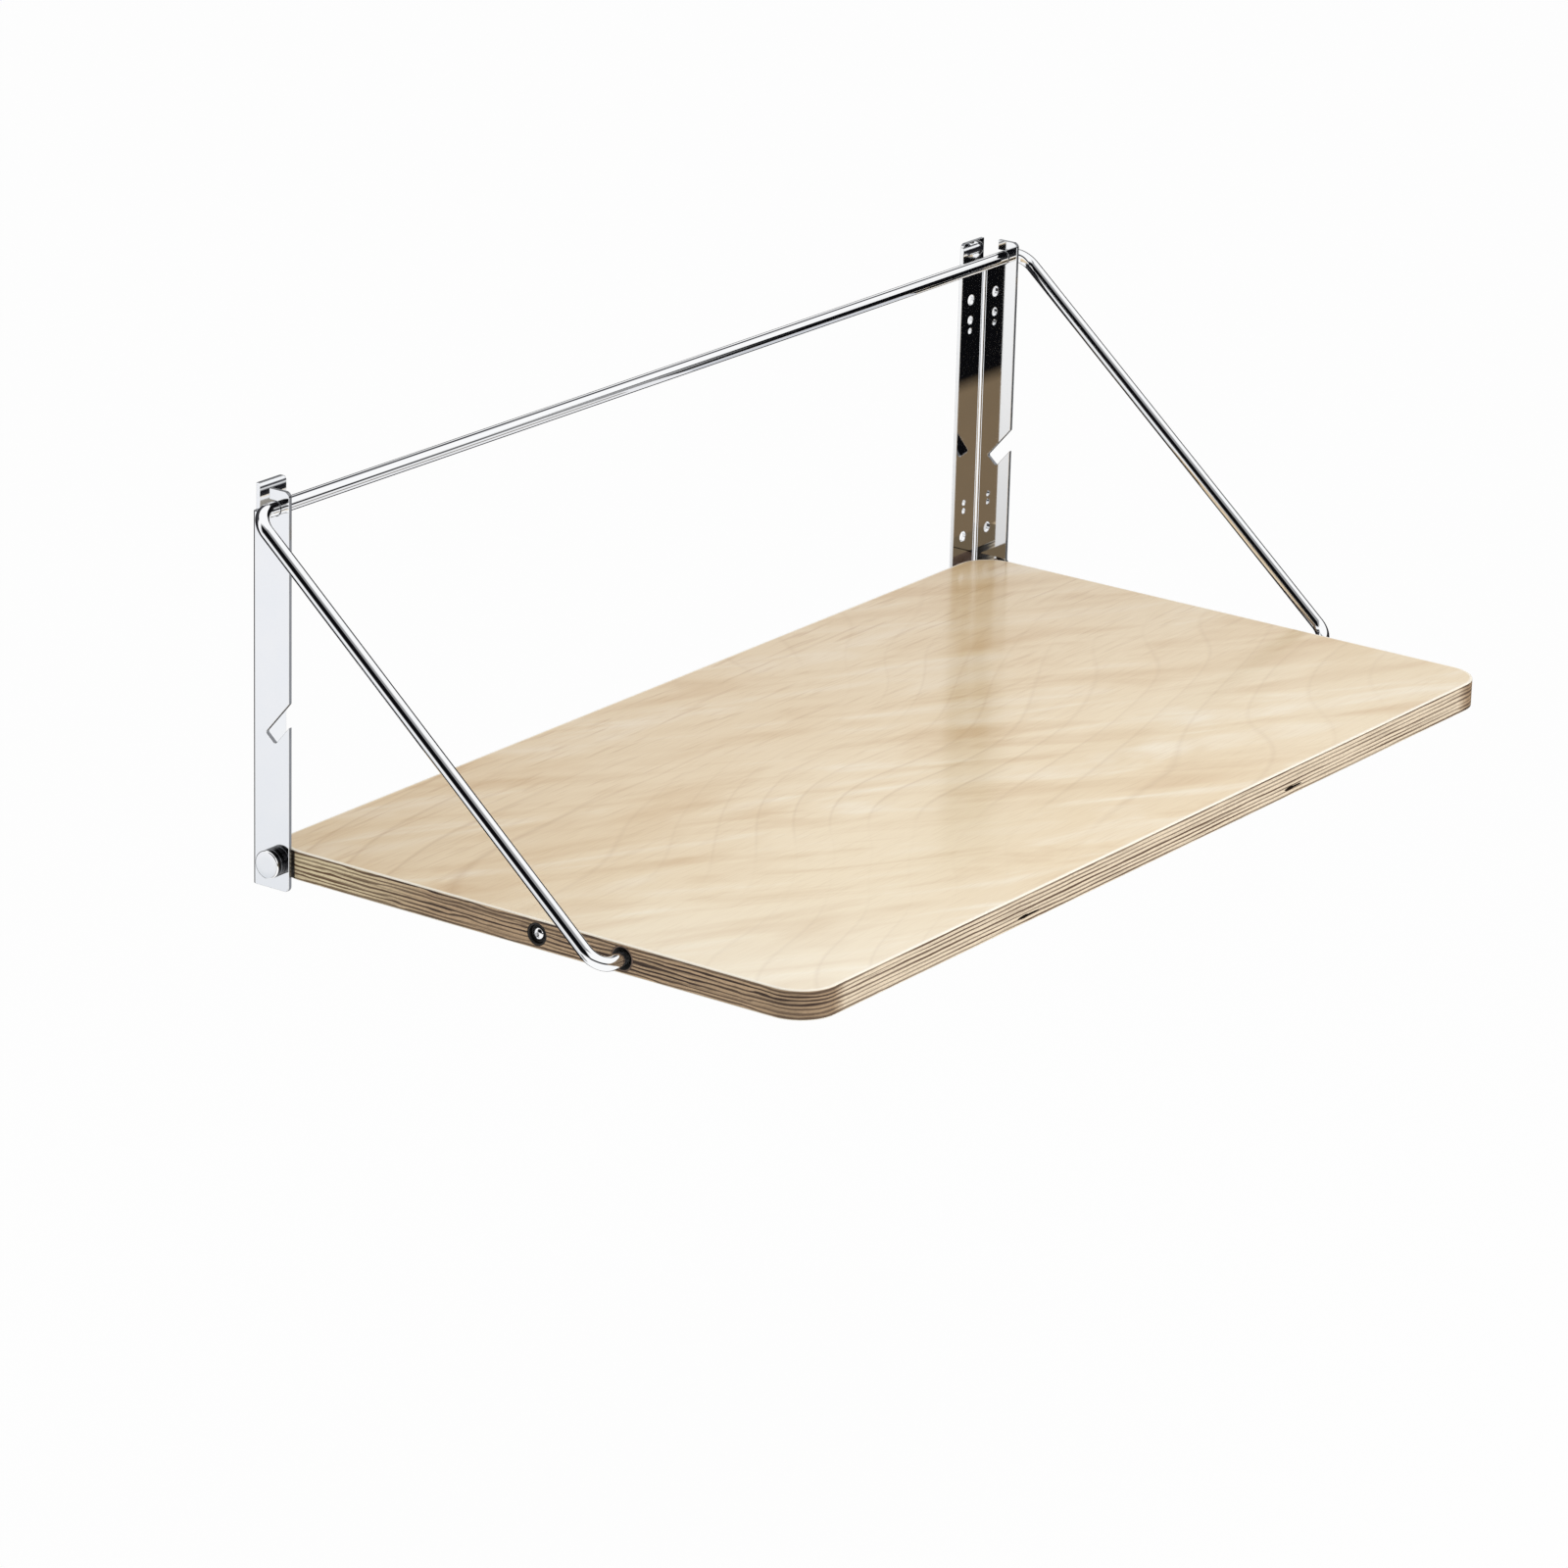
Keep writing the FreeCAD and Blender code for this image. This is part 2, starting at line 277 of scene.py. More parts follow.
def bore(name, centre, wide, step, narrow, bottom):
    """A cutter for the right-hand end of the leaf, wide as far as a step and narrow beyond."""
    wide, narrow = wide + ROOM, narrow + ROOM
    stations = ((PLATE_INNER, wide), (step, wide), (step, narrow), (bottom, narrow))
    return turned(name, centre, stations)


def end_bores():
    """The rooms for spacer, insert, bush, cup and screw in the right-hand end."""
    return (
        bore("pivot_bore", PIVOT, SPACER, INSERT_FACE, INSERT, INSERT_END),
        bore("bush_bore", SOCKET, BUSH_COLLAR, BUSH_STEP, BUSH, BUSH_END),
        bore("cup_bore", CUP, CUP_RADIUS, CUP_BACK, SCREW, SCREW_END),
    )


def ply_gap(x, z, length, height):
    """A cutter for a gap between plies that shows as a dark slit in the front edge, with
    its right half thinner than its left."""
    deselect()
    place = (x, LEAF_FRONT, z)
    bpy.ops.mesh.primitive_uv_sphere_add(segments=24, ring_count=12, radius=1, location=place)
    bpy.context.object.scale = (length / 2, GAP_DEPTH, height / 2)
    gap = begin("ply_gap")
    choose("VERT", lambda vert: vert.co.x > x)
    bpy.ops.transform.resize(value=(1, 1, 0.6), center_override=place)
    return close_up(gap)


def leaf():
    """The plywood leaf with rounded corners, eased rims, bores and two ply gaps."""
    low = (-LEAF_END, LEAF_FRONT, LEAF_TOP - LEAF_THICKNESS)
    high = (LEAF_END, LEAF_BACK, LEAF_TOP)
    panel = block("leaf_panel", low, high)
    choose("EDGE", lambda edge: along(edge, 2))
    bevel(LEAF_CORNER, segments=28)
    reach = LEAF_THICKNESS / 2 - NEAR
    choose("EDGE", lambda edge: all(abs(v.co.z - LEAF_MIDDLE) > reach for v in edge.verts))
    bevel(LEAF_EASE, segments=3)
    close_up(panel)
    for cutter in end_bores():
        carve(panel, other_hand(cutter, "left_" + cutter.name), cutter)
    carve(panel, *[ply_gap(*gap) for gap in PLY_GAPS])
    smooth(panel)
    return panel


# ---------------------------------------------------------------- the brackets

def hook_cutter():
    """The slot that the rail drops into behind the tab, with its seat under the tab."""
    inside, outside = PLATE_INNER - FOLD_INNER, PLATE_OUTER + PLATE
    floor, roof = RAIL.z - SLOT_RADIUS, RAIL.z + SLOT_RADIUS
    slot = close_up(block("hook_slot", (inside, RAIL.y, floor), (outside, PLATE, roof)))
    seat = turned("hook_seat", RAIL, ((inside, SLOT_RADIUS), (outside, SLOT_RADIUS)))
    top = BRACKET_TOP + PLATE
    mouth = close_up(block("hook_mouth", (inside, -HOOK_ENTRY, RAIL.z), (outside, PLATE, top)))
    return slot, seat, mouth


def notch_cutter():
    """The square-ended notch that slopes down and back from the front edge."""
    low = (PLATE_INNER - PLATE, -2 * FLANGE, -SLOT_RADIUS)
    high = (PLATE_OUTER + PLATE, SLOT_RADIUS, SLOT_RADIUS)
    cutter = block("notch_cutter", low, high)
    choose("EDGE", lambda edge: along(edge, 0) and middle(edge).y > 0)
    bevel(NOTCH_ROUND, segments=6)
    close_up(cutter)
    cutter.rotation_euler.x = -NOTCH_TURN
    cutter.location = (0, NOTCH_Y, NOTCH_Z)
    return cutter


def wall_hole(z, radius):
    """A cutter for one screw hole through the wall flange."""
    deselect()
    place = (SCREW_LINE, -PLATE / 2, z)
    turn = (math.pi / 2, 0, 0)
    bpy.ops.mesh.primitive_circle_add(
        vertices=SIDES, radius=radius, fill_type="NGON", location=place, rotation=turn
    )
    cutter = begin("wall_hole")
    bpy.ops.transform.translate(value=(0, -PLATE, 0))
    extrude((0, 3 * PLATE, 0))
    return close_up(cutter)


def angle_plate():
    """The right-hand bracket, folded, cut and deburred."""
    low, high = (PLATE_INNER, -FLANGE, BRACKET_BOTTOM), (PLATE_OUTER, 0, BRACKET_TOP)
    plate = block("right_angle_plate", low, high)
    bpy.ops.mesh.select_all(action="SELECT")
    bpy.ops.mesh.bisect(plane_co=(0, -PLATE, 0), plane_no=(0, 1, 0))
    choose("FACE", lambda face: face.normal.x < -0.9 and face.calc_center_median().y > -PLATE)
    extrude((PLATE - FLANGE, 0, 0))
    bpy.ops.mesh.select_all(action="SELECT")
    bpy.ops.mesh.remove_doubles(threshold=MERGE)

    def at(edge, x, y):
        point = middle(edge)
        return along(edge, 2) and abs(point.x - x) < NEAR and abs(point.y - y) < NEAR

    choose("EDGE", lambda edge: at(edge, PLATE_OUTER, 0))
    bevel(FOLD_OUTER, segments=10)
    choose("EDGE", lambda edge: at(edge, PLATE_INNER, -PLATE))
    bevel(FOLD_INNER, segments=6)

    def free_corner(edge):
        point = middle(edge)
        at_end = min(abs(point.z - BRACKET_TOP), abs(point.z - BRACKET_BOTTOM)) < NEAR
        side = along(edge, 0) and abs(point.y + FLANGE) < NEAR
        wall = along(edge, 1) and abs(point.x - PLATE_OUTER + FLANGE) < NEAR
        return at_end and (side or wall)

    choose("EDGE", free_corner)
    bevel(BRACKET_CORNER, segments=8)
    close_up(plate)
    carve(plate, *hook_cutter(), notch_cutter())
    carve(plate, *[wall_hole(z, radius) for z, radius in WALL_HOLES])
    carve(plate, turned("pivot_hole", PIVOT, ((LEAF_END, PIVOT_HOLE), (ARM_X, PIVOT_HOLE))))
    ease(plate, PLATE_EASE)
    return plate


# ---------------------------------------------------------------- the bail

def bend(turn_axis, centre):
    bpy.ops.mesh.spin(steps=20, angle=math.pi / 2, axis=turn_axis, center=centre)


def bail_rod():
    """One rod: inward tip, arm, rail, arm and tip, with a round bend between them."""
    corners = [
        Vector((TIP_X, SOCKET.y, SOCKET.z)),
        Vector((ARM_X, SOCKET.y, SOCKET.z)),
        Vector((ARM_X, RAIL.y, RAIL.z)),
        Vector((-ARM_X, RAIL.y, RAIL.z)),
        Vector((-ARM_X, SOCKET.y, SOCKET.z)),
        Vector((-TIP_X, SOCKET.y, SOCKET.z)),
    ]
    rod = disc("bail_rod", ROD, corners[0], ROD_SIDES)
    here = corners[0]
    for before, corner, after in zip(corners, corners[1:], corners[2:]):
        ahead = (corner - before).normalized()
        turn_to = (after - corner).normalized()
        arc_start = corner - ahead * ROD_BEND
        extrude(arc_start - here)
        bend(turn_to.cross(ahead), arc_start + turn_to * ROD_BEND)
        here = corner + turn_to * ROD_BEND
    extrude(corners[-1] - here)
    close_up(rod)
    ease(rod, 0.0008, segments=3, angle=60)
    return rod


# ---------------------------------------------------------------- turned pieces

def pivot_bolt():
    """The right-hand pivot bolt: thread, shoulder and a plain faced head."""
    start = 0.394
    thread = ((0.0003, BOLT_THREAD), (0.0005, BOLT_ROOT), (0.0008, BOLT_THREAD))
    stations = [(0.393, 0.0024), (start, BOLT_THREAD)]
    stations += rings(start, 0.001, 16, thread)
    stations += [
        (INSERT_FACE, BOLT_THREAD),
        (INSERT_FACE, SHOULDER),
        (HEAD_BASE, SHOULDER),
        (HEAD_BASE, 0.0096),
        (0.4295, 0.0099),
        (0.4327, 0.0099),
        (HEAD_GROOVE, 0.0096),
        (0.4333, 0.0099),
        (HEAD_ROUND, 0.0100),
        (0.4370, 0.0099),
        (0.4373, 0.0097),
        (0.4375, 0.0094),
        (0.4376, 0.0090),
        (0.4376, 0.0045),
    ]
    bolt = turned("right_pivot_stud", PIVOT, stations)
    smooth(bolt)
    return bolt


def bail_bush():
    """The right-hand bush: ribbed body, rounded collar, flared mouth and blind bore."""
    rib = ((0.0, BUSH), (0.0004, BUSH_RIB_ROOT), (0.0012, BUSH_RIB_ROOT), (0.0016, BUSH))
    stations = [(BUSH_END, 0.0068), (0.4005, BUSH)]
    stations += rings(0.404, 0.004, 4, rib)
    stations += [
        (BUSH_STEP, BUSH),
        (BUSH_STEP, BUSH_COLLAR),
        (0.4242, BUSH_COLLAR),
        (0.4247, 0.0088),
        (0.4249, 0.0083),
        (0.4249, BUSH_MOUTH),
        (0.4246, 0.0075),
        (0.4219, BUSH_BORE),
        (BUSH_FLOOR, BUSH_BORE),
        (BUSH_FLOOR, 0.002),
    ]
    bush = turned("right_tip_bush", SOCKET, stations)
    smooth(bush)
    return bush


def edge_cup():
    """The right-hand cup washer, with a rolled rim and a dished floor."""
    stations = (
        (CUP_BACK, CUP_HOLE),
        (CUP_BACK, 0.0077),
        (0.4203, CUP_RADIUS),
        (0.4243, CUP_RADIUS),
        (0.4247, 0.0079),
        (0.4249, 0.0076),
        (0.4249, 0.0071),
        (0.4247, 0.0067),
        (0.4242, CUP_INSIDE),
        (0.4222, CUP_INSIDE),
        (0.4217, 0.0062),
        (CUP_FACE, 0.0057),
        (CUP_FACE, CUP_HOLE),
    )
    cup = turned("right_cup_washer", CUP, stations)
    smooth(cup)
    return cup


def edge_screw():
    """The right-hand screw in the cup: a domed head with a six-sided key socket."""
    dome_rise, dome_flat = 0.0027, 0.0006
    thread = ((0.0004, SCREW), (0.0006, SCREW_ROOT), (0.001, SCREW))
    stations = [(SCREW_END, 0.0008), (0.3935, SCREW)]
    stations += rings(0.394, 0.0012, 20, thread)
    stations += [(CUP_FACE, SCREW), (CUP_FACE, SCREW_HEAD), (SCREW_DOME, SCREW_HEAD)]
    for degrees in range(10, 90, 10):
        turn = math.radians(degrees)
        x = SCREW_DOME + dome_rise * math.sin(turn)
        stations.append((x, dome_flat + (SCREW_HEAD - dome_flat) * math.cos(turn)))
    screw = turned("right_cup_screw", CUP, stations, ROD_SIDES)
    key = turned("key_cutter", CUP, ((0.4228, SCREW_KEY), (0.4268, SCREW_KEY)), sides=6)
    carve(screw, key)
    ease(screw, 0.0001, segments=1, angle=50)
    return screw


# ---------------------------------------------------------------- finishes

WHITE = (1.0, 1.0, 1.0, 1.0)


class Nodes:
    """Short calls for the nodes of a material or world."""

    def __init__(self, owner, coordinates):
        owner.use_nodes = True
        self.tree = owner.node_tree
        self.place = self.put("TexCoord").outputs[coordinates]

    def put(self, kind, sockets=None, **settings):
        """A node with its settings, and its sockets linked or set."""
        node = self.tree.nodes.new("ShaderNode" + kind)
        for name, value in settings.items():
            setattr(node, name, value)
        for name, value in (sockets or {}).items():
            self.fill(node.inputs[name], value)
        return node

    def fill(self, socket, value):
        if isinstance(value, bpy.types.NodeSocket):
            self.tree.links.new(value, socket)
        else:
            socket.default_value = value

    def axes(self):
        """The coordinates, one by one."""
        return self.put("SeparateXYZ", {0: self.place}).outputs[:]

    def sum(self, kind, a, b=0.0, c=0.0):
        return self.put("Math", {0: a, 1: b, 2: c}, operation=kind).outputs[0]

    def span(self, value, low, high, to_low=0.0, to_high=1.0, **settings):
        """A value spread from one range to another, and held at the ends."""
        sockets = {"Value": value, "From Min": low, "From Max": high}
        sockets.update({"To Min": to_low, "To Max": to_high})
        return self.put("MapRange", sockets, **settings).outputs[0]

    def blend(self, share, a, b):
        return self.put("Mix", {0: share, 6: a, 7: b}, data_type="RGBA").outputs[2]

    def layers(self, colour, *steps):
        """Lays further tones over a colour, each by its share."""
        for share, tone in steps:
            colour = self.blend(share, colour, paint(*tone))
        return colour


class Finish(Nodes):
    """A material, and short calls for a finish."""

    def __init__(self, name):
        self.material = bpy.data.materials.new(name)
        super().__init__(self.material, "Object")
        self.shader = self.tree.nodes["Principled BSDF"]

    def set(self, **values):
        """Sets or links the shader's sockets."""
        for name, value in values.items():
            self.fill(self.shader.inputs[name.replace("_", " ")], value)

    def radius(self, centre):
        """The distance from a line along X."""
        y, z = self.axes()[1:]
        across = self.sum("POWER", self.sum("SUBTRACT", y, centre.y), 2.0)
        up = self.sum("POWER", self.sum("SUBTRACT", z, centre.z), 2.0)
        return self.sum("SQRT", self.sum("ADD", across, up))

    def stretched(self, scale, shift=(0, 0, 0)):
        """Object coordinates, scaled by axis and shifted."""
        sockets = {"Vector": self.place, "Scale": scale, "Location": shift}
        return self.put("Mapping", sockets).outputs[0]

    def slanted(self, turn, scale):
        """Object coordinates turned in plan, then scaled."""
        sockets = {"Vector": self.place, "Rotation": (0, 0, turn)}
        turned_place = self.put("Mapping", sockets).outputs[0]
        return self.put("Mapping", {"Vector": turned_place, "Scale": scale}).outputs[0]

    def noise(self, where, scale, detail=2.0, rough=0.5, warp=0.0):
        sockets = {"Vector": where, "Scale": scale, "Detail": detail, "Roughness": rough}
        sockets["Distortion"] = warp
        return self.put("TexNoise", sockets).outputs[0]

    def bump(self, height, strength, distance):
        sockets = {"Height": height, "Strength": strength, "Distance": distance}
        self.set(Normal=self.put("Bump", sockets).outputs[0])

    def glow(self, colour):
        """A shader that shines in one colour."""
        return self.put("Emission", {"Color": colour, "Strength": 1.0}).outputs[0]

    def show(self, share, first, second):
        """Puts a mix of two shaders on the surface."""
        mix = self.put("MixShader", {0: share, 1: first, 2: second})
        self.fill(self.tree.nodes["Material Output"].inputs[0], mix.outputs[0])


def paint(red, green, blue):
    """A colour as it looks, from 0 to 255, as the renderer takes it."""
    def linear(value):
        value /= 255
        return value / 12.92 if value <= 0.04045 else ((value + 0.055) / 1.055) ** 2.4
    return (linear(red), linear(green), linear(blue), 1)


def birch_face():
    """Rotary-cut birch under lacquer: thin growth lines in arcs, soft figure across them and
    short pores, browner towards the back as painted shade, paler towards the front left as
    painted light, and with a pale band along the rim as a painted highlight."""
    f = Finish("birch_face")
    x, y = f.axes()[:2]
    drift = f.noise(f.stretched((1.3, 2.4, 1)), 1.7, 1.0, 0.4, 0.15)
    slope = f.sum("MULTIPLY_ADD", x, -9.0, f.sum("MULTIPLY", y, 25.0))
    rings = f.sum("MULTIPLY_ADD", drift, 8.0, slope)
    part = f.sum("FRACT", rings)
    line = f.span(f.sum("ABSOLUTE", f.sum("SUBTRACT", part, 0.5)), 0.075, 0.0)
    late = f.span(part, 0.05, 0.5, 0.0, 0.30)
    late = f.sum("MULTIPLY", late, f.span(part, 0.53, 0.50))
    growth = f.sum("MAXIMUM", line, late)
    where = f.span(f.noise(f.stretched((2.4, 5.0, 1), (8, 3, 0)), 1.0, 1.0), 0.40, 0.60, 0.10, 1.0)
    where = f.sum("MULTIPLY", where, f.span(x, -0.10, 0.16, 1.0, 0.45))
    figure = f.noise(f.slanted(0.50, (5.0, 24, 1)), 1.0, 3.0, 0.55, 0.9)
    cloud = f.noise(f.stretched((1.8, 4.2, 1), (3, 1, 0)), 1.2, 2.0, 0.5, 0.5)
    streaks = f.noise(f.stretched((16, 230, 1), (1, 1, 0)), 1.0, 2.0, 0.55, 0.4)
    grain = f.noise(f.stretched((30, 900, 1)), 1.0, 2.0, 0.6)
    # back: browner towards the back, painted shade; it also sets how strongly the fibres show
    back = f.span(f.sum("MULTIPLY_ADD", x, 0.12, y), -0.36, 0.02)
    golden = f.span(figure, 0.50, 0.70, 0.0, 0.72)
    light = f.span(figure, 0.46, 0.28, 0.0, 0.68)
    growth = f.sum("MULTIPLY", f.sum("MULTIPLY", growth, where), 0.34)
    fibres = f.sum("MULTIPLY", f.span(streaks, 0.56, 0.70), f.span(back, 0.1, 1.0, 0.04, 0.50))
    pores = f.span(grain, 0.52, 0.72, 0.0, 0.16)
    # front: paler towards the front left, painted light
    front = f.span(f.sum("MULTIPLY_ADD", x, 0.9, y), -0.56, -0.80, 0.0, 0.50)
    # border: a pale band on the face along its rim, a painted highlight
    border = f.span(from_edge(f, x, y), 0.0026, 0.0010, 0.0, 0.85)
    colour = f.layers(
        f.blend(f.span(cloud, 0.30, 0.70), paint(231, 207, 167), paint(242, 224, 191)),
        (golden, (214, 181, 134)),
        (light, (252, 243, 224)),
        (growth, (178, 138, 92)),
        (fibres, (190, 150, 102)),
        (pores, (184, 148, 104)),
        (f.sum("MULTIPLY", back, 0.30), (208, 168, 116)),
        (front, (255, 247, 228)),
        (border, (255, 248, 234)),
    )
    f.set(Base_Color=colour)
    f.set(Roughness=f.span(grain, 0.3, 0.7, 0.28, 0.38))
    f.set(Coat_Weight=0.45, Coat_Roughness=0.13)
    f.bump(grain, 0.10, 0.0002)
    return f.material


def from_edge(f, x, y):
    """How far inside the leaf's rounded outline a point lies."""
    half = Vector((LEAF_END - LEAF_CORNER, LEAF_DEPTH / 2 - LEAF_CORNER))
    across = f.sum("SUBTRACT", f.sum("ABSOLUTE", x), half.x)
    centre = f.sum("SUBTRACT", y, (LEAF_BACK + LEAF_FRONT) / 2)
    along_y = f.sum("SUBTRACT", f.sum("ABSOLUTE", centre), half.y)
    corner_x, corner_y = f.sum("MAXIMUM", across, 0.0), f.sum("MAXIMUM", along_y, 0.0)
    square = f.sum("MULTIPLY_ADD", corner_x, corner_x, f.sum("MULTIPLY", corner_y, corner_y))
    inside = f.sum("MINIMUM", f.sum("MAXIMUM", across, along_y), 0.0)
    return f.sum("SUBTRACT", LEAF_CORNER, f.sum("ADD", f.sum("SQRT", square), inside))


def birch_rim():
    """The eased rim of the face veneer, sanded back to pale wood and lightened further as a
    painted highlight.
    """
    f = Finish("birch_rim")
    grain = f.noise(f.stretched((60, 60, 900)), 1.0, 3.0, 0.6)
    f.set(Base_Color=f.blend(grain, paint(255, 250, 238), paint(250, 238, 216)))
    f.set(Roughness=f.span(grain, 0.3, 0.7, 0.42, 0.55))
    return f.material


def ply_shadow():
    """Raw wood darkened as painted shade deep inside a gap between plies."""
    f = Finish("ply_shadow")
    fibre = f.noise(f.stretched((200, 200, 900)), 1.0, 2.0)
    f.set(Base_Color=f.blend(fibre, paint(26, 18, 12), paint(58, 42, 28)), Roughness=0.9)
    return f.material


def ply_edge():
    """Fifteen plies: pale long-grain ones between dark end-grain ones, more figured on the two
    ends and browner there, partly as painted shade, darker at their front corners as painted
    shade, palest by the wall, and painted dark at the hinge corners as the shade in the gap there."""
    f = Finish("ply_edge")
    x, y, z = f.axes()
    end = f.span(f.sum("ABSOLUTE", x), LEAF_END - 0.040, LEAF_END - 0.027)
    by_wall = f.span(y, -0.150, -0.070)
    wave = f.sum("SUBTRACT", f.noise(f.stretched((26, 26, 140)), 1.0, 2.0, 0.5, 0.5), 0.5)
    sag = f.sum("SUBTRACT", f.noise(f.stretched((0.6, 0.6, 260), (3, 1, 0)), 1.0, 1.0), 0.5)
    wobble = f.sum("MULTIPLY", wave, f.span(end, 0.0, 1.0, 0.0011, 0.0040))
    height = f.sum("ADD", z, f.sum("MULTIPLY_ADD", sag, 0.0016, wobble))
    depth = f.sum("DIVIDE", f.sum("SUBTRACT", LEAF_TOP - FACE_PLY, height), PLY_PAIR)
    from_dark = f.sum("ABSOLUTE", f.sum("SUBTRACT", f.sum("FRACT", depth), 0.25))
    width = f.noise(f.stretched((11, 11, 330), (1, 5, 0)), 1.0, 2.0)
    width = f.sum("ADD", f.span(width, 0.32, 0.68, 0.09, 0.25), f.sum("MULTIPLY", end, 0.06))
    dark = f.span(f.sum("SUBTRACT", from_dark, width), 0.05, -0.05)
    strength = f.span(f.noise(f.stretched((8, 8, 300), (9, 2, 0)), 1.0, 2.0), 0.3, 0.6, 0.50, 1.0)
    veins = f.noise(f.stretched((13, 13, 1500), (4, 4, 0)), 1.0, 2.0, 0.5, 0.5)
    veins = f.span(veins, f.span(end, 0.0, 1.0, 0.56, 0.50), 0.66)
    hatch = f.span(f.noise(f.stretched((420, 420, 1900)), 1.0, 2.0, 0.6), 0.50, 0.70)
    # the ends' browner tones: partly the plies' own colour, partly painted shade
    pale_end = f.blend(by_wall, paint(213, 181, 144), paint(255, 236, 194))
    deep_end = f.blend(by_wall, paint(64, 42, 26), paint(110, 80, 48))
    pale = f.blend(end, paint(243, 224, 196), pale_end)
    deep = f.blend(end, paint(94, 68, 46), deep_end)
    colour = f.blend(f.sum("MULTIPLY", veins, 0.50), pale, deep)
    colour = f.blend(f.sum("MULTIPLY", hatch, 0.24), colour, deep)
    colour = f.blend(f.sum("MULTIPLY", dark, strength), colour, deep)
    # corner: darker towards the front corners of the ends, painted shade
    corner = f.span(y, LEAF_FRONT + 0.040, LEAF_FRONT + 0.015, 0.0, 0.32)
    colour = f.blend(f.sum("MULTIPLY", corner, end), colour, deep)
    # the part of each end that the bracket's side flange covers: painted shade of the gap between
    # them
    painted_hinge_shade = f.sum("MULTIPLY", f.span(y, -FLANGE - 0.002, -FLANGE - 0.001), end)
    colour = f.blend(f.sum("MULTIPLY", painted_hinge_shade, 0.95), colour, paint(20, 12, 8))
    f.set(Base_Color=colour)
    f.set(Roughness=f.span(hatch, 0.0, 1.0, 0.50, 0.66))
    f.bump(f.sum("SUBTRACT", hatch, dark), 0.25, 0.0002)
    return f.material


def chrome(name, rough, smear):
    """Bright chrome with a faint haze and fine polishing marks along one direction."""
    f = Finish(name)
    haze = f.noise(f.stretched((40, 40, 40)), 1.0, 3.0, 0.6)
    marks = f.noise(f.stretched(smear), 1.0, 2.0, 0.5)
    f.set(Base_Color=f.blend(haze, paint(246, 248, 251), paint(253, 253, 253)), Metallic=1.0)
    f.set(Roughness=f.span(f.sum("MULTIPLY", haze, marks), 0.1, 0.5, rough, rough + 0.03))
    f.bump(marks, 0.01, 0.00001)
    return f.material


def cut_edge():
    """The sheared edges of the plate, plated but not buffed: greyer, with drag lines."""
    f = Finish("cut_edge")
    drag = f.noise(f.stretched((1600, 90, 90)), 1.0, 2.0)
    f.set(Base_Color=f.blend(drag, paint(118, 120, 124), paint(158, 160, 164)), Metallic=1.0)
    f.set(Roughness=f.span(drag, 0.3, 0.7, 0.18, 0.30))
    f.bump(drag, 0.1, 0.00003)
    return f.material


def turned_chrome():
    """Chrome over a faced head: fine rings round the pivot."""
    f = Finish("turned_chrome")
    radians_per_metre = 22000.0
    tool_marks = f.sum("SINE", f.sum("MULTIPLY", f.radius(PIVOT), radians_per_metre))
    haze = f.noise(f.place, 120.0, 2.0)
    f.set(Base_Color=f.blend(haze, paint(248, 249, 251), paint(254, 254, 254)), Metallic=1.0)
    f.set(Roughness=f.span(haze, 0.3, 0.7, 0.06, 0.11))
    f.bump(tool_marks, 0.04, 0.00002)
    return f.material


def painted_dark_reflection():
    """Metal painted near-black round the bolt head's side as a painted dark reflection, with a
    grey line on the groove as a painted highlight.
    """
    f = Finish("painted_dark_reflection")
    outward = f.sum("ABSOLUTE", f.axes()[0])
    from_groove = f.sum("ABSOLUTE", f.sum("SUBTRACT", outward, HEAD_GROOVE))
    # a grey line on the groove: painted highlight
    painted_groove_highlight = f.span(from_groove, 0.0005, 0.0002)
    haze = f.noise(f.place, 900.0, 2.0)
    # near-black round the side: painted dark reflection
    black = f.blend(haze, paint(20, 20, 23), paint(44, 44, 48))
    f.set(Base_Color=f.blend(painted_groove_highlight, black, paint(122, 124, 128)), Metallic=1.0)
    f.set(Roughness=f.span(haze, 0.3, 0.7, 0.20, 0.32))
    return f.material


def moulded_nylon(name, centre, rim_from):
    """Black nylon, finely textured, and browner beyond a radius."""
    f = Finish(name)
    rim = f.span(f.radius(centre), rim_from - 0.0002, rim_from + 0.0003)
    grit = f.noise(f.place, 1800.0, 3.0, 0.6)
    cloud = f.noise(f.place, 160.0, 2.0)
    black = f.blend(cloud, paint(10, 8, 7), paint(26, 20, 17))
    brown = f.blend(cloud, paint(118, 94, 78), paint(150, 124, 106))
    f.set(Base_Color=f.blend(rim, black, brown))
    f.set(Roughness=f.span(grit, 0.3, 0.7, 0.40, 0.55))
    f.bump(grit, 0.2, 0.0001)
    return f.material


def zinc_plate():
    """Grey zinc plating with a mottled spangle."""
    f = Finish("zinc_plate")
    spangle = f.noise(f.place, 700.0, 2.0, 0.5, 0.6)
    f.set(Base_Color=f.blend(spangle, paint(168, 170, 172), paint(205, 206, 204)), Metallic=1.0)
    f.set(Roughness=f.span(spangle, 0.3, 0.7, 0.24, 0.42))
    f.bump(spangle, 0.15, 0.0001)
    return f.material


def dress(piece, finish):
    """Gives a piece one finish."""
    piece.data.materials.clear()
    piece.data.materials.append(finish)


